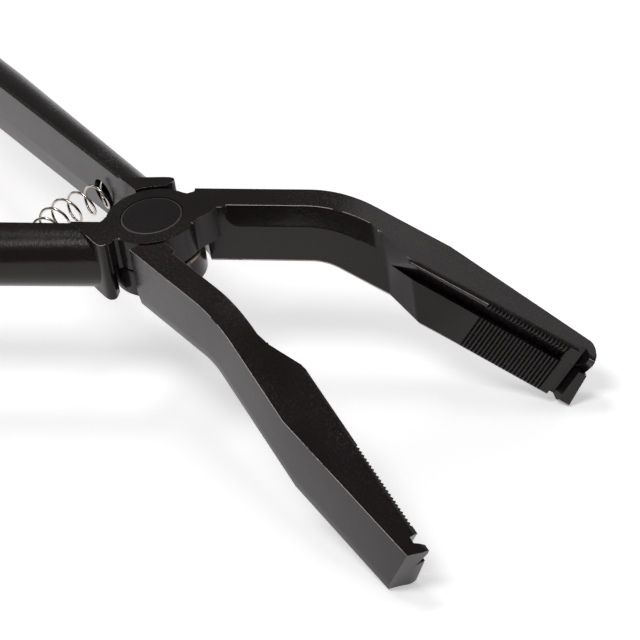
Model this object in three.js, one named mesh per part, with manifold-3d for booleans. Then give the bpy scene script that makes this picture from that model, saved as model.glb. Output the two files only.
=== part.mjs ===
// Bent-nose gripping pliers with a return spring, after a pair of drop-forged lap-joint levers.
// Millimetres, +Z up. The pivot axis is Z through the origin, and the top of the joint is Z = 0.
// Each lever is drawn with its nose towards +X, its jaw on the +Y side and its handle on the -Y side.
import * as THREE from 'three';
import { mergeVertices } from 'three/addons/utils/BufferGeometryUtils.js';
import Module from 'manifold-3d';

const wasm = await Module();
wasm.setup();

// ---- driving dimensions ----------------------------------------------------------------------
const openAngle = 43.8;       // degrees between the two levers when the spring is relaxed
const thick = 14;             // forging thickness through the joint, and depth of the bent nose
const discR = 9.8;            // radius of the round lap half
const shoulderR = 10.6;       // radius of the hollow shoulder that clears the other lever's disc
const shoulderX = 7.1;        // where the flat ends of the full-thickness parts stand
const lapZ = -7.5;            // plane between the two lap halves
const lapGap = 0.3;           // running gap between the halves
const outerY = 9.9;           // outer side of the neck
const neckY = 3.4;            // inner side of the neck
const rampStartX = 47.5;      // the neck steps in to the gripping pad between these two stations
const rampEndX = 53.8;
const padSlope = 0.7;         // degrees by which the pad leans inwards, so the pads meet flat
const taperX = 60;            // the outer side is ground to a taper from here to the tip
const tipOuterY = 3.5;        // outer side of the nose at the end of the taper
const taperEnd = 61.9;        // distance along the nose at which the taper is set out
const noseAngle = 34.1;       // degrees the nose bends downwards
const bendX = 39;             // where the straight top line and the nose's top line would cross
const bendR = 24;             // outer bend radius; the inner one is smaller by the thickness
const noseLength = 62.1;      // from that crossing to the tip, along the top
const tipSlant = 0.093;       // the end leans forwards by this much for each mm down
const tipThick = 14.65;       // depth of the nose at the tip
const toothPitch = 0.855;
const toothDepth = 0.42;
const toothStart = 36.6;      // distance of the first tooth from the bend crossing
const toothCount = 23;
const slotStart = 57.9;       // crosswise hook slot behind the tip
const slotDepth = 2.0;
const slotFloor = 1.4;
const slotRun = 1.3;          // length of the lip's sloping inner wall
// The lengthwise V groove at two stations: distance along the nose, the depths below its top line of
// the upper lip, the lower lip and the root, and how far the root lies behind the pad.
const grooveRoot = [12, 0.95, 4.35, 6.0, 3.2];
const grooveTip = [62, 2.0, 4.95, 4.2, 1.7];
const grooveEnd = 55.6;
const handleY = -2.5;         // flat inner face of the handle
const handleDepth = 9.4;      // from the flat to the crown of the dome
const handleHeight = 14.7;
const handleThin = 0.8;       // the dome is shallower by this factor where it leaves the joint
const flatBreakZ = -9.8;      // the flat leans back below this line
const flatLean = 0.5;
const handleLength = 135;     // pivot to handle end
const handleStraight = 80;    // the handle is straight to here and then bows outwards
const handleBow = 7;
const springX = -25.8;        // pocket centre on the handle flat
const springZ = -8.9;
const pocketR = 3.6;
const pocketDepth = 4.4;
const springR = 2.95;         // mean coil radius in the pockets
const springSwell = 0.3;      // how much wider the coils are half way between them
const springBulge = 1.9;      // how far the axis bows outwards half way
const wireR = 0.3;
const coilStart = 0.605;      // turns at the upper flat, turns per mm there, and how that eases
const coilRate = 0.3155;
const coilEase = -0.00102;
const headR = 6.5;            // flush rivet heads
const headDepth = 2.2;
const shankR = 4.5;
const pinGap = 0.3;

const rad = THREE.MathUtils.degToRad;
const along = new THREE.Vector2(Math.cos(rad(noseAngle)), -Math.sin(rad(noseAngle)));
const below = new THREE.Vector2(-Math.sin(rad(noseAngle)), -Math.cos(rad(noseAngle)));

// ---- solids ----------------------------------------------------------------------------------
// A three.js geometry as a solid that can be joined and cut.
function solid(geometry) {
  const g = geometry.clone();
  g.deleteAttribute('normal');
  g.deleteAttribute('uv');
  const m = mergeVertices(g, 1e-4);
  const tri = Uint32Array.from(m.index.array);
  const make = (t) => new wasm.Manifold(new wasm.Mesh({
    numProp: 3, vertProperties: Float32Array.from(m.attributes.position.array), triVerts: t }));
  const s = make(tri);
  if (s.volume() > 0) return s;
  for (let i = 0; i < tri.length; i += 3) [tri[i], tri[i + 1]] = [tri[i + 1], tri[i]];
  return make(tri);
}

// A solid back as a flat-shaded three.js geometry, reflected in the XZ plane if asked.
function geometryOf(s, reflected = false) {
  const m = s.getMesh();
  const g = new THREE.BufferGeometry();
  g.setAttribute('position', new THREE.BufferAttribute(Float32Array.from(m.vertProperties), 3));
  const tri = Array.from(m.triVerts);
  if (reflected) {
    g.scale(1, -1, 1);
    for (let i = 0; i < tri.length; i += 3) [tri[i], tri[i + 1]] = [tri[i + 1], tri[i]];
  }
  g.setIndex(tri);
  const flat = g.toNonIndexed();
  flat.computeVertexNormals();
  return flat;
}

// A plan outline [x, y] raised from z0 to z1.
function prism(points, z0, z1) {
  const shape = new THREE.Shape(points.map(([x, y]) => new THREE.Vector2(x, y)));
  const g = new THREE.ExtrudeGeometry(shape, { depth: z1 - z0, bevelEnabled: false });
  return solid(g.translate(0, 0, z0));
}

// A side outline [x, z] carried across from y0 to y1.
function sidePrism(points, y0, y1) {
  const shape = new THREE.Shape(points.map(([x, z]) => new THREE.Vector2(x, z)));
  const g = new THREE.ExtrudeGeometry(shape, { depth: y1 - y0, bevelEnabled: false });
  return solid(g.rotateX(Math.PI / 2).translate(0, y1, 0));
}

function upright(r, z0, z1, segments = 64) {
  return solid(new THREE.CylinderGeometry(r, r, z1 - z0, segments)
    .rotateX(Math.PI / 2).translate(0, 0, (z0 + z1) / 2));
}

function arc(cx, cy, r, a0, a1, steps) {
  return Array.from({ length: steps + 1 }, (_, i) => {
    const a = rad(a0 + (a1 - a0) * i / steps);
    return [cx + r * Math.cos(a), cy + r * Math.sin(a)];
  });
}

// ---- nose stations ---------------------------------------------------------------------------
const padY = (x) => -x * Math.tan(rad(padSlope));
// Point at a distance s along the nose and h down from its top line.
const nosePoint = (s, h) => [bendX + s * along.x + h * below.x, s * along.y + h * below.y];

// ---- the lever -------------------------------------------------------------------------------
function neckPlan() {
  const tipX = bendX + taperEnd * along.x + 4;
  const tipY = outerY + (tipOuterY - outerY) * (tipX - taperX) / (tipX - 4 - taperX);
  return [[shoulderX, outerY], [shoulderX, neckY], [rampStartX, neckY], [rampEndX, padY(rampEndX)],
    [tipX, padY(tipX)], [tipX, tipY], [taperX, outerY]];
}

// The bar's side view: straight through the joint, then bent down at an even thickness.
function bentSide() {
  const inner = bendR - thick;
  const start = bendX - bendR * Math.tan(rad(noseAngle) / 2);
  return [[0, 0], ...arc(start, -bendR, bendR, 90, 90 - noseAngle, 10), nosePoint(noseLength + 3, 0),
    nosePoint(noseLength + 3, tipThick), ...arc(start, -bendR, inner, 90 - noseAngle, 90, 6), [0, -thick]];
}

// The web that joins the disc to the neck and to the handle, in one lap half only.
function webPlan() {
  return [[0, 3], [4.9, 8.3], [5.8, 8.0], [6.6, 8.7], [shoulderX + 0.1, outerY], [16, outerY],
    [16, neckY], [14.5, neckY], [13.4, 3.5], [12.9, 2.7], [11.2, 0.1], [10.3, -0.5], [9.5, -2.2],
    [0, -3], [-5.1, -8.2], [-5.9, -8.6], [-6.6, -10.6], [-12, -7.4], [-15, -4], [-15, handleY],
    [-10.5, handleY], [-10.1, -1.9], [-9.75, -0.8]];
}

function bossPlan() {
  return [[-17, -2.5], [-12.3, -7.3], [-9.9, -9.7], [-8.6, -10.6], [-shoulderX, -10.8],
    [-shoulderX, -6], [-9, -2.5]];
}

// A D section swept along the handle: flat towards the other handle, domed outside.
function handleBar() {
  const half = handleHeight / 2;
  const dome = [...Array(15).keys()].map((i) => {
    const a = Math.PI * (i + 1) / 16;
    return new THREE.Vector2(half + half * Math.cos(a), handleDepth * Math.sin(a) ** 0.9);
  });
  const section = new THREE.Shape([new THREE.Vector2(handleHeight, flatLean), ...dome,
    new THREE.Vector2(0, 0.2), new THREE.Vector2(0.2, 0), new THREE.Vector2(-flatBreakZ, 0)]);
  const path = new THREE.CurvePath();
  const a = new THREE.Vector3(-9, handleY, 0);
  const b = new THREE.Vector3(-handleStraight, handleY, 0);
  path.add(new THREE.LineCurve3(a, b));
  path.add(new THREE.CubicBezierCurve3(b, new THREE.Vector3(-handleStraight - 18, handleY, 0),
    new THREE.Vector3(-handleLength + 16, handleY - handleBow * 0.85, 0),
    new THREE.Vector3(-handleLength - 2, handleY - handleBow, 0)));
  const g = new THREE.ExtrudeGeometry(section,
    { steps: 32, bevelEnabled: false, extrudePath: path });
  const p = g.attributes.position;
  for (let i = 0; i < p.count; i++) {
    const run = THREE.MathUtils.clamp(-p.getX(i), 12, 72);
    const k = THREE.MathUtils.mapLinear(run, 12, 72, handleThin, 1);
    if (run < 72) p.setY(i, handleY + (p.getY(i) - handleY) * k);
  }
  const bar = solid(g);
  const mid = handleY - handleBow - handleDepth / 2 + 0.3;
  const end = arc(-handleLength + 5.4, mid, 5.4, 270, 90, 12)
    .map(([x, y]) => [x, mid + (y - mid) * 1.05]);
  const nib = prism([[-8, 4], [-8, -10.7], [-10.5, -11.5], [-13.5, -12], [-16, -25], ...end,
    [-100, 4]], -30, 10);
  return bar.intersect(nib);
}

// Everything that is full thickness, cleared round the other lever's disc on the far lap half.
function fullThickness() {
  const neck = prism(neckPlan(), -80, 5).intersect(sidePrism(bentSide(), -20, 20));
  const handle = handleBar().add(prism(bossPlan(), -thick, 0));
  return neck.add(handle);
}

// A cut in the nose: its outline is [distance along, Y], carried down the nose from h0 to h1.
function noseCut(points, h0, h1, slant = 0) {
  const shape = new THREE.Shape(points.map(([s, y]) => new THREE.Vector2(s, y)));
  const g = new THREE.ExtrudeGeometry(shape, { depth: h1 - h0, bevelEnabled: false });
  const m = new THREE.Matrix4().makeBasis(new THREE.Vector3(along.x, 0, along.y),
    new THREE.Vector3(0, 1, 0),
    new THREE.Vector3(below.x + slant * along.x, 0, below.y + slant * along.y));
  const [x, z] = nosePoint(slant * h0, h0);
  return solid(g.applyMatrix4(m.setPosition(x, 0, z)));
}

const padAt = (s) => padY(bendX + s * along.x - 3.9);   // pad level half way down the nose

function teeth() {
  return [...Array(toothCount).keys()].map((i) => {
    const a = toothStart + i * toothPitch, b = a + toothPitch * 0.94, y = padAt(a) - 0.06;
    return noseCut([[a, -3], [b, -3], [b, y], [a + toothPitch * 0.35, y + toothDepth], [a, y]],
      -1, thick + 1);
  });
}

// The hook slot behind the tip: a square back wall, a floor and the lip's sloping wall.
function hookSlot() {
  const s = slotStart, y = padAt(s), lip = s + slotFloor + slotRun;
  return noseCut([[s, -4], [s, y], [s, y + slotDepth], [s + slotFloor, y + slotDepth],
    [lip, y], [lip, -4]], -1, thick + 2);
}

// The lengthwise V groove between two distances along the nose: a unit wedge whose corners are
// moved to the root and, well clear of the pad, to its two lips.
function vGroove(a, b) {
  const wedge = [[0, 0], [1, 0], [0, 1]].map(([u, v]) => new THREE.Vector2(u, v));
  const g = new THREE.ExtrudeGeometry(new THREE.Shape(wedge), { depth: 1, bevelEnabled: false });
  const p = g.attributes.position;
  for (let i = 0; i < p.count; i++) {
    const s = p.getZ(i) > 0.5 ? b : a;
    const k = (s - grooveRoot[0]) / (grooveTip[0] - grooveRoot[0]);
    const [upper, lower, root, deep] = [1, 2, 3, 4].map((j) =>
      THREE.MathUtils.lerp(grooveRoot[j], grooveTip[j], k));
    const u = p.getX(i) * 1.7, v = p.getY(i) * 1.7;
    const [x, z] = nosePoint(s, root + u * (upper - root) + v * (lower - root));
    p.setXYZ(i, x, padAt(s) + deep * (1 - u - v), z);
  }
  return solid(g);
}

// The end is ground square to the tapered side; the upper lever's outer corner is rounded.
function tipTrim(upper) {
  const s = noseLength;
  const corner = upper ? [[s - 1.5, 3.25], [s - 2.3, 3.95], [s - 3.6, 4.7]] : [[s - 1.6, 5.2]];
  return noseCut([[s, -3], [s - 0.3, 0.5], [s - 0.9, 2.4], ...corner, [s + 6, 6], [s + 6, -3]],
    -2, thick + 3, tipSlant);
}

function pocket() {
  return solid(new THREE.CylinderGeometry(pocketR, pocketR, pocketDepth + 2, 32)
    .translate(springX, handleY - pocketDepth / 2 + 1, springZ));
}

// Half section of the rivet: two flush heads that taper to the shank.
function rivetSection(gap, over) {
  const r = headR + gap, q = shankR + gap, d = headDepth;
  return [[0, over], [r, over], [r, -0.6], [q, -d - 0.6], [q, -thick + d + 0.6],
    [r, -thick + 0.6], [r, -thick - over], [0, -thick - over]];
}

function lathe(points) {
  return solid(new THREE.LatheGeometry(points.map(([r, z]) => new THREE.Vector2(r, z)), 64)
    .rotateX(Math.PI / 2));
}

// One lever, with its disc in the upper or in the lower lap half.
function lever(upper) {
  const [keep0, keep1] = upper ? [lapZ + lapGap / 2, 0] : [-thick, lapZ - lapGap / 2];
  const [cut0, cut1] = upper ? [-30, keep0] : [keep1, 10];
  const half = upright(discR, keep0, keep1).add(prism(webPlan(), keep0, keep1));
  let body = fullThickness().subtract(upright(shoulderR, cut0, cut1, 96)).add(half);
  const cuts = [lathe(rivetSection(pinGap, 1)), pocket(), tipTrim(upper), hookSlot(),
    vGroove(4, grooveEnd), vGroove(slotStart + 0.5, noseLength + 2), ...teeth()];
  for (const c of cuts) body = body.subtract(c);
  return body;
}

// ---- the return spring -----------------------------------------------------------------------
// Its axis leaves both handle flats squarely: a straight seat, an arc and a straight seat.
const turn = rad(openAngle);
const hub = -handleY / Math.tan(turn / 2);      // the two flats cross at this X, at Y = handleY
const axisR = hub - springX;
const seat = pocketDepth - wireR - 0.3;

class CoilCurve extends THREE.Curve {
  getPoint(t) {
    const free = axisR * turn;
    const d = t * (free + 2 * seat) - seat;
    const a = Math.min(Math.max(d, 0), free) / axisR;
    const over = Math.min(d, 0) + Math.max(d - free, 0);     // distance along the straight seats
    const middle = Math.sin(Math.PI * a / turn) ** 2;        // 0 at both flats, 1 half way
    const out = new THREE.Vector3(-Math.cos(a), Math.sin(a), 0);
    const ahead = new THREE.Vector3(Math.sin(a), Math.cos(a), 0);
    const spin = 2 * Math.PI * (coilStart + coilRate * d + coilEase * d * d);
    const r = springR + springSwell * middle;
    return new THREE.Vector3(hub, handleY, springZ)
      .addScaledVector(out, axisR + springBulge * middle + r * Math.cos(spin))
      .addScaledVector(ahead, over)
      .add(new THREE.Vector3(0, 0, r * Math.sin(spin)));
  }
}

function spring() {
  const ring = new THREE.Shape([...Array(8).keys()].map((i) => new THREE.Vector2(
    wireR * Math.cos(i * Math.PI / 4), wireR * Math.sin(i * Math.PI / 4))));
  return solid(new THREE.ExtrudeGeometry(ring, { steps: 150,
    bevelEnabled: false, extrudePath: new CoilCurve() }));
}

// ---- assembly --------------------------------------------------------------------------------
const paint = (color, roughness, metalness) =>
  new THREE.MeshStandardMaterial({ color, roughness, metalness });
const black = paint(0x231f20, 0.28, 0.85);
const nickel = paint(0xc9c4bc, 0.25, 1.0);

function node(name, s, material, reflected) {
  const mesh = new THREE.Mesh(geometryOf(s, reflected), material);
  mesh.name = name;
  return mesh;
}

const pliers = new THREE.Group();
pliers.add(node('upper_lever', lever(true), black));
const far = node('lower_lever', lever(false), black, true);
far.rotation.z = -rad(openAngle);
pliers.add(far);
pliers.add(node('pivot_rivet', lathe(rivetSection(0, 0)), black));
pliers.add(node('return_spring', spring(), nickel));

export default pliers;
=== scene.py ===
# %% [markdown]
# # Bent-nose gripping pliers
# Two forged levers are laid over each other at a round lap joint and held by one rivet. A small coil
# spring between the handles opens them. The noses bend down and end in a toothed, grooved pad with a
# hook slot, so that the tips can pull on a ring or a rod.
#
# The imported CAD model is the fixed frame and comes first. The pieces below are drawn to its measures, and
# its box gives the level of the floor.
# %% The fixed frame
import math

import bmesh
import bpy
from mathutils import Matrix, Vector


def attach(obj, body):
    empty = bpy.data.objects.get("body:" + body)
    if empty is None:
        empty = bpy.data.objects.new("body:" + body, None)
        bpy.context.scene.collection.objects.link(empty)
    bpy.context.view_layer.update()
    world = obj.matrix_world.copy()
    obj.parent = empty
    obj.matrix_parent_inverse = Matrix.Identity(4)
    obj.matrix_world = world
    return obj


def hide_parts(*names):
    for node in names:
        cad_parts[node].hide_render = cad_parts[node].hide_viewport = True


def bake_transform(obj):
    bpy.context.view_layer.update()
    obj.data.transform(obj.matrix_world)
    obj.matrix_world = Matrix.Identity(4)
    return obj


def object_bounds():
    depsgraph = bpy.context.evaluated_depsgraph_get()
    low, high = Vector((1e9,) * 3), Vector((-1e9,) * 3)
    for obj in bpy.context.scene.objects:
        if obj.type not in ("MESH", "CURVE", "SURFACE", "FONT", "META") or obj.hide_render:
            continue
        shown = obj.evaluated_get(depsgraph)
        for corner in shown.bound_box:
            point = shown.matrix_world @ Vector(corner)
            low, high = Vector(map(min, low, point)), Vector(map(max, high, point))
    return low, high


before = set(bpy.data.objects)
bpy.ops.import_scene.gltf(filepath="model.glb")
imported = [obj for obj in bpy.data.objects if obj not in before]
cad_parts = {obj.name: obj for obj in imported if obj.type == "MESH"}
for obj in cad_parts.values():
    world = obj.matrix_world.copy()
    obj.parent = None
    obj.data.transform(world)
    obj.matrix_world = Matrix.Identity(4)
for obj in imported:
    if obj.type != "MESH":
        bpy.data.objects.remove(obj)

scene = bpy.context.scene
cad_box = [list(corner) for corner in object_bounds()]
print("CAD box in mm", [[round(v * 1000, 1) for v in corner] for corner in cad_box])

# %% [markdown]
# ## Measures
# The levers are drawn in millimetres, pivot at the origin, nose towards +X, jaw on the +Y side and handle
# on the -Y side. The second lever is the mirror image, turned to the angle at which the spring holds it.
# %% Measures of the forging
OPEN = math.radians(43.8)       # angle between the levers at rest
BEND = math.radians(34.1)       # how far the nose bends down
BEND_X = 39.0                   # where the top lines of neck and nose cross
BEND_R = 24.0                   # outer radius of the bend
THICK = 14.0
NOSE = 62.1                     # from that crossing to the tip, along the top
TIP_SLANT, TIP_DEPTH = 0.093, 14.65   # the end leans forwards; depth of the nose there
NECK_IN, NECK_OUT = 3.2, 9.9    # inner and outer side of the neck
RAMP = (47.5, 53.8)             # the neck steps in to the pad between these stations
PAD_SLOPE = math.tan(math.radians(0.7))
TAPER = (60.0, 90.27, 3.5)      # the outer side tapers from here, to here, to this
LAP = -7.5                      # where the two lap halves meet
DISC_R, SHOULDER_R, SHOULDER_X = 9.8, 10.6, 7.1
FLAT_Y, HANDLE_H, DOME = -2.5, 14.7, 9.4     # the handle's flat, its height and its depth
SPRING_X, SPRING_Z = -25.8, -8.9             # the spring's pocket in that flat
LAP_GAP = 0.15                  # clearance of each lap half from the middle plane
RIVET_R, RIVET_WAIST, RIVET_CONE, RIVET_RIM = 6.5, 4.5, 2.8, 0.6
BAND = 4.8                      # depth of the leaning band along the neck
BAND_LEAN, LEAN_FADE = 0.85, 2.6     # how far the band leans, and how long it takes to fade at the ramp
HANDLE_CAP = 4.9                # length of the handle's round end
ALONG = Vector((math.cos(BEND), 0, -math.sin(BEND)))
BELOW = Vector((-math.sin(BEND), 0, -math.cos(BEND)))
MM = 0.001                      # the finished pieces are in metres
print("noses", NOSE, "mm long, bent down", round(math.degrees(BEND), 1), "degrees")


def nose_point(s, h, y=0.0):
    """The point s along the nose from the crossing, h below its top line and at this y."""
    return Vector((BEND_X, y, 0)) + ALONG * s + BELOW * h


def pad_y(x):
    return -x * PAD_SLOPE


def pad_at(s):
    """The pad's y half way down the nose."""
    return pad_y(BEND_X + s * ALONG.x - 3.9)


# %% [markdown]
# ## Three small makers
# Nearly all of the tool is a section carried along a line, as a forging die is cut. `carried` starts from
# one face, extrudes it and moves the new face to the next station. `plate` is the same with two stations.
# Pieces are joined and cut with the exact Boolean modifier, which keeps flat faces flat.
# %% Makers
def carried(sections):
    """A closed solid: the first section's face, extruded from station to station."""
    bm = bmesh.new()
    ring = [bm.verts.new(p) for p in sections[0]]
    face = bm.faces.new(ring)
    for i, section in enumerate(sections[1:]):
        made = bmesh.ops.extrude_face_region(bm, geom=[face])["geom"]
        if i:
            bmesh.ops.delete(bm, geom=[face], context="FACES_ONLY")
        face = next(g for g in made if isinstance(g, bmesh.types.BMFace))
        fresh = list(face.verts)
        moved = [min(fresh, key=lambda v: (v.co - old.co).length_squared) for old in ring]
        for vert, place in zip(moved, section):
            vert.co = place
        ring = moved
    bmesh.ops.recalc_face_normals(bm, faces=bm.faces)
    return bm


def plate(outline, z0, z1):
    return carried([[(x, y, z) for x, y in outline] for z in (z0, z1)])


def turned(profile, steps=96):
    """A profile of (radius, z) points spun round the Z axis."""
    bm = bmesh.new()
    verts = [bm.verts.new((r, 0, z)) for r, z in profile]
    edges = [bm.edges.new(pair) for pair in zip(verts, verts[1:])]
    bmesh.ops.spin(bm, geom=verts + edges, cent=(0, 0, 0), axis=(0, 0, 1), dvec=(0, 0, 0),
                   angle=2 * math.pi, steps=steps, use_merge=True)
    bmesh.ops.remove_doubles(bm, verts=bm.verts, dist=1e-5)
    bmesh.ops.recalc_face_normals(bm, faces=bm.faces)
    return bm


def round_edges(bm, wanted, width, segments=2):
    """Bevels the edges between two faces that the test picks."""
    edges = [e for e in bm.edges if e.is_manifold and wanted(e)]
    bmesh.ops.bevel(bm, geom=edges, offset=width, offset_type="OFFSET", affect="EDGES",
                    segments=segments, profile=0.5, material=-1, clamp_overlap=True)
    return len(edges)


def placed(bm, name):
    """The bmesh as an object in the scene."""
    mesh = bpy.data.meshes.new(name)
    bm.to_mesh(mesh)
    bm.free()
    obj = bpy.data.objects.new(name, mesh)
    scene.collection.objects.link(obj)
    return obj


def worked(obj, tools, operation):
    """Joins the tools to obj, or cuts them out of it, and removes them."""
    for tool in tools:
        step = obj.modifiers.new("work", "BOOLEAN")
        step.operation, step.object, step.solver = operation, tool, "EXACT"
    bake(obj)
    for tool in tools:
        bpy.data.objects.remove(tool)
    return obj


def bake(obj):
    """Puts what obj's modifiers make into its mesh."""
    shape = obj.evaluated_get(bpy.context.evaluated_depsgraph_get())
    mesh = bpy.data.meshes.new_from_object(shape)
    obj.modifiers.clear()
    obj.data = mesh


def cleaned(obj):
    """obj's mesh as a bmesh, with split points merged and flat neighbours made one face."""
    bm = bmesh.new()
    bm.from_mesh(obj.data)
    bmesh.ops.remove_doubles(bm, verts=bm.verts, dist=2e-3)
    bmesh.ops.dissolve_degenerate(bm, edges=bm.edges, dist=1e-3)
    bmesh.ops.dissolve_limit(bm, angle_limit=math.radians(0.35), verts=bm.verts, edges=bm.edges)
    return bm


# %% [markdown]
# ## Neck and nose
# On the real lever this is one bar of even thickness, bent while hot. Its inner side has a band that leans
# back along the top, its outer side a ground band along the bottom, and the nose a chamfer over the pad.
# One section with those corners is carried through the bend; the ramp and the taper only move its sides.
# %% Neck and nose
def inner_y(x):
    k = min(max((x - RAMP[0]) / (RAMP[1] - RAMP[0]), 0), 1)
    return NECK_IN * (1 - k) + pad_y(x) * k if k < 1 else pad_y(x)


def outer_y(x):
    return NECK_OUT + (TAPER[2] - NECK_OUT) * max(0, x - TAPER[0]) / (TAPER[1] - TAPER[0])


def bar_section(top, bottom, band, pad):
    """Corners of the bar's section between two points of its side view. The band is band mm deep."""
    corners = []
    fade = min(max((RAMP[0] + 0.1 - top.x) / LEAN_FADE, 0.3), 1)
    lean = min(band, 1) * BAND_LEAN * fade
    foot = max(band, 0.8)
    inner = [(0, lean + 1.1 * pad), (0.5, lean * 0.9), (foot - 0.22, lean * 0.22), (foot, 0),
             (13.4, 0), (14, 0.5)]
    outer = [(14, -0.4), (11.1, 0), (0, 0)]
    for side, rows in ((inner_y, inner), (outer_y, outer)):
        for h, off in rows:
            p = top.lerp(bottom, h / THICK)
            corners.append(Vector((p.x, side(p.x) + off, p.z)))
    return corners


def upright_station(x):
    """Top and bottom of the side view straight above each other at this x, on the nose."""
    top = nose_point((x - BEND_X) / ALONG.x, 0)
    return top, nose_point((x - BEND_X - THICK * BELOW.x) / ALONG.x, THICK)


def bar_stations():
    """Top and bottom of the side view, band and chamfer at each station."""
    rows = [(Vector((x, 0, 0)), Vector((x, 0, -THICK)), band, 0)
            for x, band in ((SHOULDER_X, 0), (14.3, 0), (14.45, 1.6), (14.8, 2.9), (15.4, 3.9),
                            (16.3, 4.6), (17.3, BAND), (24, BAND))]
    start = BEND_X - BEND_R * math.tan(BEND / 2)
    for i in range(15):
        a = BEND * i / 14
        out = Vector((math.sin(a), 0, math.cos(a)))
        centre = Vector((start, 0, -BEND_R))
        rows.append((centre + out * BEND_R, centre + out * (BEND_R - THICK), BAND, 0))
    for x, band, pad in ((45.7, 4.6, 0), (46.3, 4.1, 0), (46.7, 3.1, 0), (46.9, 1.6, 0), (47.0, 0, 0),
                         (RAMP[0], 0, 0), (53.1, 0, 0), (RAMP[1], 0, 0.25), (55.2, 0, 1),
                         (TAPER[0], 0, 1)):
        rows.append((*upright_station(x), band, pad))
    rows.append((nose_point(NOSE + 3, 0), nose_point(NOSE + 3, TIP_DEPTH), 0, 1))
    return rows


def runs_along(e):
    """True for an edge that follows the bar and is a corner of its section."""
    way = (e.verts[1].co - e.verts[0].co).normalized()
    return abs(way.x) > 0.8 and math.degrees(e.calc_face_angle(0)) > 14


def neck_and_nose():
    bm = carried([bar_section(*row) for row in bar_stations()])
    made = round_edges(bm, lambda e: runs_along(e) and e.calc_face_angle(0) > 1, 0.3, 3)
    made += round_edges(bm, lambda e: runs_along(e) and 0.62 < e.calc_face_angle(0) < 1, 0.12, 2)
    print("neck and nose:", len(bm.faces), "faces,", made, "edges rounded")
    return placed(bm, "neck_and_nose")


# %% [markdown]
# ## Handle
# The handle is a D: flat towards the other handle, domed outside, a little shallower where it leaves the
# joint. The same maker carries the D back, bows it outwards and shrinks it to a round end.
# %% Handle
def d_section(depth):
    """(z, y) corners of the D, y measured from the flat."""
    half = HANDLE_H / 2
    dome = []
    for i in range(1, 20):
        a = math.pi * i / 20
        dome.append((-(half + half * math.cos(a)), -depth * math.sin(a) ** 0.9))
    return [(-HANDLE_H, -0.5)] + dome + [(-0.05, -0.5), (-0.5, 0), (-9.8, 0)]


def handle_line():
    """Stations down the handle: place on the flat, direction across it, depth factor, shrinking."""
    rows = []
    for x in (-9, -12, -16, -22, -30, -40, -50, -60, -72, -80):
        rows.append((Vector((x, FLAT_Y, 0)), Vector((0, 1, 0)), min(1, 0.8 + 0.2 * (-x - 12) / 60)))
    a, b, c, d = (Vector(p) for p in ((-80, FLAT_Y, 0), (-98, FLAT_Y, 0), (-119, -8.45, 0),
                                      (-137, -9.5, 0)))
    for i in range(1, 11):
        t = 0.88 * i / 10
        ab, bc, cd = a.lerp(b, t), b.lerp(c, t), c.lerp(d, t)
        way = (bc.lerp(cd, t) - ab.lerp(bc, t)).normalized()
        rows.append((ab.lerp(bc, t).lerp(bc.lerp(cd, t), t), Vector((way.y, -way.x, 0)), 1))
    return rows


def handle():
    sections = []
    for place, across, thin in handle_line():
        sections.append([place + across * y + Vector((0, 0, z)) for z, y in d_section(DOME * thin)])
    last = sections[-1]
    middle = sum(last, Vector()) / len(last)
    way = (sections[-1][0] - sections[-2][0]).normalized()
    for degrees in (18, 36, 52, 66, 78, 87):
        a = math.radians(degrees)
        shift = way * (HANDLE_CAP * math.sin(a))
        sections.append([middle + (p - middle) * math.cos(a) + shift for p in last])
    bm = carried(sections)
    print("handle:", len(bm.faces), "faces")
    return placed(bm, "handle")


# %% [markdown]
# ## Joint
# Each lever has a full-thickness shoulder on both sides of the rivet and half the thickness between them.
# The shoulder is hollowed for the other lever's disc, then its own disc and web are added in one half.
# %% Joint
BOSS = [(-17, FLAT_Y), (-12.3, -7.3), (-10.1, -9.6), (-9.2, -10.4), (-8.5, -10.8), (-8.0, -10.8),
        (-7.5, -10.6), (-7.2, -10.2), (-SHOULDER_X, -9.6), (-SHOULDER_X, -6), (-9, FLAT_Y)]
WEB = [(0, 3), (4.9, 8.3), (5.8, 8.0), (6.6, 8.5), (7.3, 8.9), (8.2, 8.4), (15, 8.6), (15, 3.6),
       (14.5, 3.6), (13.4, 3.5), (12.9, 2.7), (11.2, 0.1), (10.3, -0.5), (9.5, -2.2), (0, -3),
       (-5.1, -8.2), (-5.9, -8.6), (-6.6, -10.6), (-12, -7.4), (-15, -4), (-15, FLAT_Y),
       (-10.5, FLAT_Y), (-10.1, -1.9), (-9.75, -0.8)]


def drum(radius, z0, z1, segments=96):
    bm = bmesh.new()
    bmesh.ops.create_cone(bm, cap_ends=True, segments=segments, radius1=radius, radius2=radius,
                          depth=z1 - z0)
    bmesh.ops.translate(bm, verts=bm.verts, vec=(0, 0, (z0 + z1) / 2))
    return bm


def lap_half(z0, z1, top_worn):
    """Disc and web in one half of the thickness."""
    disc = drum(DISC_R, z0, z1, 120)
    round_edges(disc, lambda e: e.calc_length() < 1 and e.verts[0].co.z > z1 - 0.01
                and e.verts[1].co.z > z1 - 0.01, top_worn, 2)
    round_edges(disc, lambda e: e.calc_length() < 1 and max(v.co.z for v in e.verts) < z0 + 0.01, 0.2, 1)
    web = placed(plate(WEB, z0, z1), "web")
    return worked(placed(disc, "disc"), [web], "UNION")


def boss():
    bm = plate(BOSS, -THICK, 0)
    round_edges(bm, lambda e: max(v.co.z for v in e.verts) < -THICK + 0.01
                and max(v.co.y for v in e.verts) < -5.9, 0.9, 3)
    round_edges(bm, lambda e: min(v.co.z for v in e.verts) > -0.01
                and max(v.co.y for v in e.verts) < -6.9, 0.45, 3)
    return placed(bm, "boss")


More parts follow.
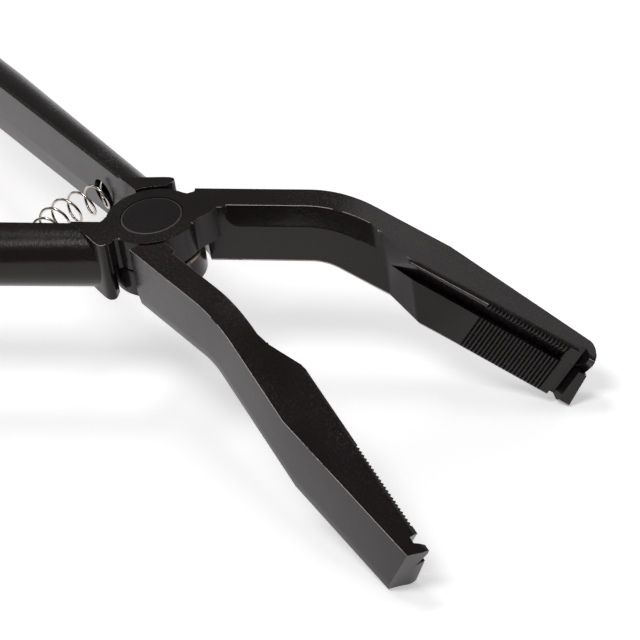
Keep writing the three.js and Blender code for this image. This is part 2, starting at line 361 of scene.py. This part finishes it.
def rim_edge(e):
    """True for a square edge of the joint's top or bottom face."""
    a, b = e.verts
    level = a.co.z > -0.01 and b.co.z > -0.01 or max(a.co.z, b.co.z) < -THICK + 0.01
    near = max(abs(a.co.x), abs(b.co.x)) < 17.5
    return level and abs(a.co.z - b.co.z) < 0.01 and near and math.degrees(e.calc_face_angle(0)) > 60


# %% [markdown]
# ## Cuts
# The pad is finished by cutting: crosswise teeth, a lengthwise V groove that runs out on the ramp, a slot
# that leaves a hooked lip, and a slanted end. The teeth are one comb, so that one cut makes all of them.
# %% Cuts in the nose and the joint
TOOTH = (36.6, 0.855, 0.5, 23)           # first one, pitch, depth, count
SLOT = (57.9, 1.4, 1.3, 2.0)             # start, floor, length of the lip's slope, depth
GROOVE = ((12, 0.95, 4.25, 5.95, 3.2), (62, 2.0, 4.95, 5.7, 2.0))   # along, two lips, root, depth
GROOVE_END = 55.6                        # the groove stops short of the slot


def nose_plate(outline, h0, h1, slant=0):
    """A cutter with an outline of (along, y), carried down the nose."""
    return carried([[nose_point(s + slant * h, h, y) for s, y in outline] for h in (h0, h1)])


def teeth():
    first, pitch, depth, count = TOOTH
    comb = []
    for i in range(count):
        a, y = first + i * pitch, pad_at(first + i * pitch) - 0.06
        comb += [(a, y), (a + 0.35 * pitch, y + depth), (a + 0.94 * pitch, y)]
    end = first + count * pitch
    return placed(nose_plate([(first, -3)] + comb + [(end, -3)], -1, THICK + 1), "teeth")


def hook_slot():
    s, floor, slope, depth = SLOT
    y = pad_at(s)
    outline = [(s, -4), (s, y), (s, y + depth), (s + floor, y + depth), (s + floor + slope, y),
               (s + floor + slope, -4)]
    return placed(nose_plate(outline, -1, THICK + 2), "slot")


def groove(a, b):
    sections = []
    for s in (a, b):
        k = (s - GROOVE[0][0]) / (GROOVE[1][0] - GROOVE[0][0])
        upper, lower, root, deep = (GROOVE[0][j] * (1 - k) + GROOVE[1][j] * k for j in range(1, 5))
        pad = pad_at(s)
        sections.append([nose_point(s, root + w * 1.7 * (lip - root), pad + deep * (1 - 1.7 * w))
                         for w, lip in ((0, root), (1, upper), (1, lower))])
    return placed(carried(sections), "groove")


def tip_trim(rounded):
    """The slanted end; on the upper lever its outer corner is rounded too."""
    s = NOSE
    corner = [(s - 1.5, 3.25), (s - 2.3, 3.95), (s - 3.6, 4.7)] if rounded else [(s - 1.6, 5.2)]
    outline = [(s, -3), (s - 0.3, 0.5), (s - 0.9, 2.4)] + corner + [(s + 6, 6), (s + 6, -3)]
    return placed(nose_plate(outline, -2, THICK + 3, TIP_SLANT), "trim")


def rivet_profile(gap, over):
    """A cutter for the rivet's seats: wider than the rivet by gap, standing out by over."""
    r, q = RIVET_R + gap, RIVET_WAIST + gap
    return [(0, over), (r, over), (r, -RIVET_RIM), (q, -RIVET_CONE), (q, RIVET_CONE - THICK),
            (r, RIVET_RIM - THICK), (r, -THICK - over), (0, -THICK - over)]


def pocket():
    bm = drum(3.6, -2, 4.4, 48)
    bmesh.ops.rotate(bm, verts=bm.verts, cent=(0, 0, 0), matrix=Matrix.Rotation(math.pi / 2, 3, "X"))
    bmesh.ops.translate(bm, verts=bm.verts, vec=(SPRING_X, FLAT_Y, SPRING_Z))
    return placed(bm, "pocket")


# %% [markdown]
# ## The two levers
# The parts of a lever are joined, hollowed, rounded and cut in the order of the real work: forging, then
# milling. Each face then gets the slot of its finish by where it lies and which way it looks, and narrow
# strips of rounded edge are marked in an attribute, so that a finish can wear them bright. Weighted normals
# keep the broad faces flat where they meet a rounded edge.
# %% The two levers
def lever(name, upper):
    z0, z1 = (LAP + LAP_GAP, 0) if upper else (-THICK, LAP - LAP_GAP)
    hollow = drum(SHOULDER_R, -30, z0) if upper else drum(SHOULDER_R, z1, 10)
    body = worked(neck_and_nose(), [handle(), boss()], "UNION")
    worked(body, [placed(hollow, "hollow")], "DIFFERENCE")
    worked(body, [lap_half(z0, z1, 0.35 if upper else 0.8)], "UNION")
    bm = cleaned(body)
    rims = round_edges(bm, rim_edge, 0.35, 3)
    bm.to_mesh(body.data)
    bm.free()
    worked(body, [placed(turned(rivet_profile(0.1, 1)), "seat"), pocket(), tip_trim(upper), hook_slot(),
                  groove(4, GROOVE_END), groove(SLOT[0] + 0.5, NOSE + 2), teeth()], "DIFFERENCE")
    bm = cleaned(body)
    strips = mark_worn(bm)
    for face in bm.faces:
        face.material_index = finish_index(face)
    if not upper:
        bmesh.ops.scale(bm, verts=bm.verts, vec=(1, -1, 1))
        bmesh.ops.reverse_faces(bm, faces=bm.faces)
        bmesh.ops.rotate(bm, verts=bm.verts, cent=(0, 0, 0), matrix=Matrix.Rotation(-OPEN, 3, "Z"))
    bmesh.ops.scale(bm, verts=bm.verts, vec=(MM, MM, MM))
    bm.to_mesh(body.data)
    open_edges = sum(not e.is_manifold for e in bm.edges)
    bm.free()
    body.name = name
    finish_shading(body)
    print(name, len(body.data.polygons), "faces,", rims, "rim edges,", open_edges, "open edges,",
          strips, "worn strips")
    return body


def under_top(p):
    """How far the point lies under the top line of neck and nose."""
    return min(-p.z, (p - nose_point(0, 0)).dot(BELOW))


def milled(face):
    """True for the insides of the teeth, the groove and the slot, and for the teeth's crests; they get the
    cut finish with its painted shade.
    """
    centre = face.calc_center_median()
    s = (centre - nose_point(0, 0)).dot(ALONG)
    deep = centre.y - pad_y(centre.x)
    if not (4 < s < 61 and 0.52 < under_top(centre) < 14 and deep < 3.3):
        return False
    return deep > 0.03 and abs(face.normal.y) < 0.985 or s > TOOTH[0] and face.calc_area() < 1.5


def banded(face):
    """True for the leaning band along the inner side of the neck, where the painted shade goes."""
    centre = face.calc_center_median()
    inside = 14.2 < centre.x < RAMP[0] and NECK_IN + 0.005 < centre.y < NECK_IN + 1.2
    return inside and 0.4 < under_top(centre) < 4.9 and face.normal.y < -0.8


def footed(face):
    """True for the ground band along the foot of the outer side, which gets the lighter finish with its
    painted reflection.
    """
    centre = face.calc_center_median()
    return centre.x > 8 and under_top(centre) > 11.2 and centre.y > 2.5 and 0.8 < face.normal.y < 0.999


def finish_index(face):
    """The slot of the face's finish: 0 forged, 2 cut with painted shade, 3 the band's painted shade, 4 the
    ground foot with painted reflection; the bare one, 1, with its painted highlight, comes later.
    """
    return 2 if milled(face) else 3 if banded(face) else 4 if footed(face) else 0


def rounding(face):
    """True for a narrow strip between two faces that turn away from it: part of a rounded edge."""
    long = max(e.calc_length() for e in face.edges)
    if face.calc_area() > 0.26 * long or long < 0.3:
        return False
    centre = face.calc_center_median()
    if centre.x > 12 and 0.9 < under_top(centre) < 13 or milled(face):
        return False
    turned_away = sum(e.calc_length() for e in face.edges if abs(e.calc_face_angle(0)) > 0.15)
    return turned_away > 0.55 * face.calc_perimeter()


def mark_worn(bm):
    """Writes how much handling has worn each face into the attribute that the finishes read."""
    worn = bm.faces.layers.float.new("worn")
    for face in bm.faces:
        face[worn] = float(rounding(face))
    return sum(face[worn] > 0 for face in bm.faces)


def finish_shading(obj):
    obj.data.shade_smooth()
    obj.data.set_sharp_from_angle(angle=math.radians(32))
    weigh = obj.modifiers.new("broad faces first", "WEIGHTED_NORMAL")
    weigh.keep_sharp = True
    bake(obj)


upper_forging = lever("upper_forging", True)
lower_forging = lever("lower_forging", False)
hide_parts("upper_lever")
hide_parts("lower_lever")
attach(upper_forging, "upper_lever_body")
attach(lower_forging, "lower_lever_body")

# %% [markdown]
# ## Rivet
# The rivet is peened into conical seats and ground flush, so its head shows only as a fine ring. It is a
# turned shape with a barely domed, slightly rounded head at both ends.
# %% Rivet
def rivet():
    r, q, t = RIVET_R, RIVET_WAIST, THICK
    half = [(0, 0), (4, -0.01), (r - 0.35, -0.04), (r - 0.1, -0.12), (r, -0.3), (r, -RIVET_RIM),
            (q, -RIVET_CONE)]
    profile = half + [(q, -t / 2)] + [(a, -t - b) for a, b in reversed(half)]
    bm = turned(profile, 128)
    worn = bm.faces.layers.float.new("worn")
    for face in bm.faces:
        face[worn] = float(0.15 < abs(face.normal.z) < 0.97)
    bmesh.ops.scale(bm, verts=bm.verts, vec=(MM, MM, MM))
    obj = placed(bm, "rivet")
    finish_shading(obj)
    print("rivet:", len(obj.data.polygons), "faces")
    return obj


rivet_obj = rivet()
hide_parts("pivot_rivet")
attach(rivet_obj, "upper_lever_body")

# %% [markdown]
# ## Return spring
# The spring is close to a straight coil in each pocket and bows outwards between them. A curve through the
# coil's points with a round bevel is the plainest way to make wire; it becomes a mesh.
# %% Return spring
HUB = Vector((-FLAT_Y / math.tan(OPEN / 2), FLAT_Y, SPRING_Z))
AXIS_R = HUB.x - SPRING_X
SEAT = 3.8          # how deep the coil sits in each pocket
WIRE = 0.3          # the wire's radius
COIL_R = 2.95       # the coil's radius in the pockets; it swells by COIL_SWELL half way
COIL_SWELL = 0.3
BOW = 1.9           # how far the coil's axis bows outwards half way


def coil_point(d):
    """The wire's centre at a distance d along the spring's axis from the upper flat."""
    free = AXIS_R * OPEN
    a = min(max(d, 0), free) / AXIS_R
    over = min(d, 0) + max(d - free, 0)
    middle = math.sin(math.pi * a / OPEN) ** 2
    spin = 2 * math.pi * (0.605 + 0.3155 * d - 0.00102 * d * d)
    r = COIL_R + COIL_SWELL * middle
    out = Vector((-math.cos(a), math.sin(a), 0))
    ahead = Vector((math.sin(a), math.cos(a), 0))
    reach = AXIS_R + BOW * middle + r * math.cos(spin)
    return HUB + out * reach + ahead * over + Vector((0, 0, r * math.sin(spin)))


def spring():
    count = 340
    total = AXIS_R * OPEN + 2 * SEAT
    line = bpy.data.curves.new("wire", "CURVE")
    line.dimensions = "3D"
    line.bevel_depth, line.bevel_resolution, line.use_fill_caps = WIRE * MM, 3, True
    path = line.splines.new("POLY")
    path.points.add(count - 1)
    for i, point in enumerate(path.points):
        point.co = (*(coil_point(total * i / (count - 1) - SEAT) * MM), 1)
    wire = bpy.data.objects.new("wire", line)
    scene.collection.objects.link(wire)
    mesh = bpy.data.meshes.new_from_object(wire.evaluated_get(bpy.context.evaluated_depsgraph_get()))
    bpy.data.objects.remove(wire)
    bm = bmesh.new()
    bm.from_mesh(mesh)
    bmesh.ops.remove_doubles(bm, verts=bm.verts, dist=1e-6)
    bmesh.ops.recalc_face_normals(bm, faces=bm.faces)
    obj = placed(bm, "coil_spring")
    obj.data.shade_smooth()
    obj.data.set_sharp_from_angle(angle=math.radians(50))
    print("spring:", len(obj.data.polygons), "faces")
    return obj


spring_obj = spring()
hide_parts("return_spring")
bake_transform(spring_obj)

# %% [markdown]
# ## Finishes
# The forging is blackened: dark, glossy, a little uneven, with the die's fine pitting mostly on the faces
# that look up. One group makes the uneven skin for every finish. It puts out a height, a gloss mask, a
# colour mask, a mask of the faces that look up and a patchy mask of the worn edges; the shader itself stays
# in each material.
# %% The uneven skin
def skin_group():
    group = bpy.data.node_groups.new("forged_skin", "ShaderNodeTree")
    face = group.interface
    for name, value in (("Wave Scale", 90.0), ("Grain Scale", 1500.0), ("Pit Scale", 2000.0),
                        ("Pit Amount", 0.6), ("Patch Scale", 45.0), ("Wear", 0.9)):
        face.new_socket(name, in_out="INPUT", socket_type="NodeSocketFloat").default_value = value
    for name in ("Height", "Gloss Mask", "Colour Mask", "Top Mask", "Edge Mask"):
        face.new_socket(name, in_out="OUTPUT", socket_type="NodeSocketFloat")
    nodes, links = group.nodes, group.links
    given, result = nodes.new("NodeGroupInput"), nodes.new("NodeGroupOutput")
    where = nodes.new("ShaderNodeTexCoord")

    def noise(scale, detail):
        node = nodes.new("ShaderNodeTexNoise")
        node.inputs["Detail"].default_value = detail
        links.new(where.outputs["Object"], node.inputs["Vector"])
        links.new(given.outputs[scale], node.inputs["Scale"])
        return node.outputs["Fac"]

    def maths(operation, a, b):
        node = nodes.new("ShaderNodeMath")
        node.operation = operation
        for socket, value in zip(node.inputs, (a, b)):
            if isinstance(value, (int, float)):
                socket.default_value = value
            else:
                links.new(value, socket)
        return node.outputs[0]

    wave, grain = noise("Wave Scale", 2), noise("Grain Scale", 3)
    pits = noise("Pit Scale", 1)
    pit = nodes.new("ShaderNodeMapRange")
    pit.inputs["From Min"].default_value, pit.inputs["From Max"].default_value = 0.53, 0.70
    links.new(pits, pit.inputs["Value"])
    normal = nodes.new("ShaderNodeNewGeometry")
    split = nodes.new("ShaderNodeSeparateXYZ")
    links.new(normal.outputs["Normal"], split.inputs[0])
    top = nodes.new("ShaderNodeMapRange")
    top.inputs["From Min"].default_value, top.inputs["From Max"].default_value = 0.55, 0.8
    links.new(split.outputs["Z"], top.inputs["Value"])
    patch = nodes.new("ShaderNodeMapRange")
    patch.inputs["From Min"].default_value, patch.inputs["From Max"].default_value = 0.38, 0.56
    links.new(noise("Patch Scale", 1), patch.inputs["Value"])
    pitted = maths("MULTIPLY", pit.outputs[0], patch.outputs[0])
    pitting = maths("MULTIPLY", maths("MULTIPLY", pitted, given.outputs["Pit Amount"]),
                    maths("ADD", maths("MULTIPLY", top.outputs[0], 0.8), 0.2))
    rough = maths("MULTIPLY", grain, maths("ADD", maths("MULTIPLY", top.outputs[0], 0.35), 0.15))
    height = maths("SUBTRACT", maths("ADD", maths("MULTIPLY", wave, 1.0), rough), pitting)
    links.new(height, result.inputs["Height"])
    links.new(maths("ADD", maths("MULTIPLY", grain, 0.5), maths("MULTIPLY", wave, 0.5)),
              result.inputs["Gloss Mask"])
    links.new(maths("ADD", maths("MULTIPLY", wave, 0.3), maths("MULTIPLY", pitted, top.outputs[0])),
              result.inputs["Colour Mask"])
    links.new(top.outputs[0], result.inputs["Top Mask"])
    strip = nodes.new("ShaderNodeAttribute")
    strip.attribute_name = "worn"
    patchy = nodes.new("ShaderNodeMapRange")
    patchy.inputs["From Min"].default_value, patchy.inputs["From Max"].default_value = 0.30, 0.50
    links.new(maths("ADD", maths("MULTIPLY", wave, 0.6), maths("MULTIPLY", grain, 0.4)),
              patchy.inputs["Value"])
    worn = maths("MULTIPLY", maths("MULTIPLY", strip.outputs["Fac"], patchy.outputs[0]),
                 given.outputs["Wear"])
    links.new(worn, result.inputs["Edge Mask"])
    print("skin group puts out:", [s.name for s in face.items_tree if s.in_out == "OUTPUT"])
    return group


SKIN = skin_group()


# %% [markdown]
# Each finish mixes two colours and two gloss values by the group's masks and bumps the surface by its
# height. Blackened steel behaves like dark lacquer: it keeps a plain gloss over an almost black ground, and
# turns to bright bare metal only where the edge mask says so. The neck's band, the cuts and the ground foot
# differ in gloss, so each is a finish of its own; they also differ in colour and reflection as painted
# light:
# the band and the cuts are darker, a painted shade, and the foot is lighter, a painted reflection of the
# floor.
# %% Steel finishes
BARE_EDGE = (0.55, 0.49, 0.47)      # colour of an edge that handling has rubbed bright
BARE_EDGE_ROUGH = 0.22              # how much rougher it is than the blackened skin


def finish_of(name, dark, light, rough, metallic, bump, values=None, ior=1.5, top_rough=0.0,
              tint=None):
    """A steel between two colours and two roughnesses; bump is the height of its relief in metres."""
    mat = bpy.data.materials.new(name)
    mat.use_nodes = True
    nodes, links = mat.node_tree.nodes, mat.node_tree.links
    shader = nodes["Principled BSDF"]
    shader.inputs["Metallic"].default_value = metallic
    shader.inputs["IOR"].default_value = ior
    skin = nodes.new("ShaderNodeGroup")
    skin.node_tree = SKIN
    for key, value in (values or {}).items():
        skin.inputs[key].default_value = value
    colour = nodes.new("ShaderNodeMix")
    colour.data_type = "RGBA"
    colour.inputs["A"].default_value, colour.inputs["B"].default_value = (*dark, 1), (*light, 1)
    links.new(skin.outputs["Colour Mask"], colour.inputs["Factor"])
    if metallic:
        links.new(colour.outputs["Result"], shader.inputs["Base Color"])
    else:
        bright = nodes.new("ShaderNodeMix")
        bright.data_type = "RGBA"
        bright.inputs["B"].default_value = (*BARE_EDGE, 1)
        links.new(skin.outputs["Edge Mask"], bright.inputs["Factor"])
        links.new(colour.outputs["Result"], bright.inputs["A"])
        links.new(bright.outputs["Result"], shader.inputs["Base Color"])
        links.new(skin.outputs["Edge Mask"], shader.inputs["Metallic"])
    if tint:
        shader.inputs["Specular Tint"].default_value = (*tint, 1)
    gloss = nodes.new("ShaderNodeMapRange")
    gloss.inputs["From Min"].default_value, gloss.inputs["From Max"].default_value = 0.3, 0.7
    gloss.inputs["To Min"].default_value, gloss.inputs["To Max"].default_value = rough
    links.new(skin.outputs["Gloss Mask"], gloss.inputs["Value"])
    extra = nodes.new("ShaderNodeMath")
    extra.operation = "MULTIPLY_ADD"
    extra.inputs[1].default_value = top_rough
    links.new(skin.outputs["Top Mask"], extra.inputs[0])
    links.new(gloss.outputs[0], extra.inputs[2])
    soft = nodes.new("ShaderNodeMath")
    soft.operation = "MULTIPLY_ADD"
    soft.inputs[1].default_value = 0.0 if metallic else BARE_EDGE_ROUGH
    links.new(skin.outputs["Edge Mask"], soft.inputs[0])
    links.new(extra.outputs[0], soft.inputs[2])
    links.new(soft.outputs[0], shader.inputs["Roughness"])
    relief = nodes.new("ShaderNodeBump")
    relief.inputs["Strength"].default_value = 1.0
    relief.inputs["Distance"].default_value = bump
    links.new(skin.outputs["Height"], relief.inputs["Height"])
    links.new(relief.outputs["Normal"], shader.inputs["Normal"])
    return mat


black = finish_of("blackened_forging", (0.0065, 0.0046, 0.0049), (0.0300, 0.0245, 0.0250),
                  (0.13, 0.26), 0.0, 0.00007, ior=1.37, top_rough=0.10, tint=(1.0, 0.92, 0.92))
# The neck's band gets a darker colour and a weaker reflection than the forging: painted shade for the band
# that mirrors the dark room.
band_painted_shade = finish_of("painted_shade_band", (0.0030, 0.0022, 0.0025), (0.0070, 0.0052, 0.0058),
                     (0.16, 0.24), 0.0, 0.00003, ior=1.18)
# The foot band gets a lighter colour and a stronger reflection than the forging: painted reflection of the
# white floor, which the tilted band mirrors.
foot = finish_of("foot_painted_reflection", (0.020, 0.018, 0.018), (0.034, 0.030, 0.030),
                 (0.20, 0.30), 0.0, 0.00003, ior=1.55)
# The cuts get a rougher finish, as milled steel has, and a darker colour with a weaker reflection: painted
# shade in the teeth, the groove and the slot.
cut_and_painted_shade = finish_of("cut_painted_shade", (0.0040, 0.0030, 0.0034), (0.0090, 0.0070, 0.0076),
                (0.40, 0.55), 0.0, 0.00002, ior=1.3)
# Bare brownish steel for the rubbed chamfer of the lower disc, laid only on the side where its highlight
# falls: partly painted highlight.
bare_and_highlit = finish_of("worn_steel_and_highlight", (0.30, 0.22, 0.16), (0.55, 0.45, 0.36), (0.25, 0.4), 1.0, 0.00002)
ground = finish_of("ground_black", (0.0085, 0.0065, 0.0075), (0.0150, 0.0115, 0.0130),
                   (0.22, 0.34), 0.0, 0.00004, {"Wear": 0.2}, ior=1.42)
nickel = finish_of("nickel_wire", (0.50, 0.46, 0.41), (0.72, 0.67, 0.61), (0.10, 0.22), 1.0, 0.00001)
lever_finishes = (black, bare_and_highlit, cut_and_painted_shade, band_painted_shade, foot)
for obj, mats in ((upper_forging, lever_finishes), (lower_forging, lever_finishes),
                  (rivet_obj, (ground,)), (spring_obj, (nickel,))):
    obj.data.materials.clear()
    for mat in mats:
        obj.data.materials.append(mat)


def rubbed_and_highlit(face):
    """True for the +X part of the chamfer round the lower disc: the other lever rubs it bare, and keeping it
    to that side, where the highlight falls, is a painted highlight.
    """
    c, n = face.center * 1000, face.normal
    ring = 8.8 < math.hypot(c.x, c.y) < 9.85 and c.x > 3
    return ring and -8.5 < c.z < -7.6 and 0.2 < n.z < 0.95


# Only the +X part of the ring turns bare metal: real rubbing, with a painted highlight on the side where the
# light falls.
worn = [f for f in lower_forging.data.polygons if rubbed_and_highlit(f)]
for f in worn:
    f.material_index = 1
print("finishes:", [m.name for m in bpy.data.materials], len(worn), "rubbed faces")

# %% [markdown]
# ## Floor, light and camera
# A wide white table, lit a little from within like a light box, so that shadows on it stay faint. The sides
# of the tool mirror it and turn grey, the top mirrors the dark room and stays black, and the softboxes
# draw fine bright lines along the worn edges.
# %% Floor, light and camera
low = cad_box[0][2]
bm = bmesh.new()
bmesh.ops.create_grid(bm, x_segments=1, y_segments=1, size=3)
bmesh.ops.translate(bm, verts=bm.verts, vec=(0, 0, low))
floor = placed(bm, "floor")
paper = bpy.data.materials.new("white_table")
paper.use_nodes = True
sheet = paper.node_tree.nodes["Principled BSDF"]
sheet.inputs["Base Color"].default_value = (0.95, 0.95, 0.95, 1)
sheet.inputs["Roughness"].default_value = 0.8
sheet.inputs["Specular IOR Level"].default_value = 0.0
sheet.inputs["Emission Color"].default_value = (1, 1, 1, 1)
sheet.inputs["Emission Strength"].default_value = 0.43
floor.data.materials.append(paper)


def softbox(name, place, target, size, power):
    light = bpy.data.lights.new(name, "AREA")
    light.shape, light.size, light.size_y, light.energy = "RECTANGLE", size[0], size[1], power
    obj = bpy.data.objects.new(name, light)
    scene.collection.objects.link(obj)
    obj.location = place
    obj.rotation_euler = (Vector(target) - Vector(place)).to_track_quat("-Z", "Y").to_euler()
    return obj


softbox("front_softbox", (-0.07, -0.50, 0.95), (0.02, 0, 0), (0.38, 0.22), 4.2)
softbox("top_softbox", (-0.13, 0.10, 1.10), (0, 0, 0), (0.30, 0.25), 2)
softbox("left_softbox", (-0.80, 0.22, 0.62), (0, 0, 0), (0.35, 0.35), 0.9)
softbox("back_softbox", (0.90, 1.50, 0.87), (0.05, 0, 0), (1.20, 0.80), 3)

world = bpy.data.worlds.new("dark_room")
scene.world = world
world.use_nodes = True
world.node_tree.nodes["Background"].inputs["Color"].default_value = (1, 0.94, 0.94, 1)
world.node_tree.nodes["Background"].inputs["Strength"].default_value = 0.18
scene.view_settings.view_transform = "Standard"

camera_data = bpy.data.cameras.new("camera")
camera_data.sensor_width, camera_data.lens = 36, 192.95
camera_data.clip_start, camera_data.clip_end = 0.01, 20
camera = bpy.data.objects.new("camera", camera_data)
scene.collection.objects.link(camera)
right = Vector((0.97159, 0.19858, -0.12879))
up = Vector((-0.01888, 0.60740, 0.79417))
back = Vector((0.23593, -0.76917, 0.59389))
turn = Matrix((right, up, back)).transposed().to_4x4()
camera.matrix_world = Matrix.Translation((0.20185, -0.55234, 0.39998)) @ turn
scene.camera = camera
print("camera", round(camera.location.length, 2), "m from the rivet, lens", round(camera_data.lens), "mm")
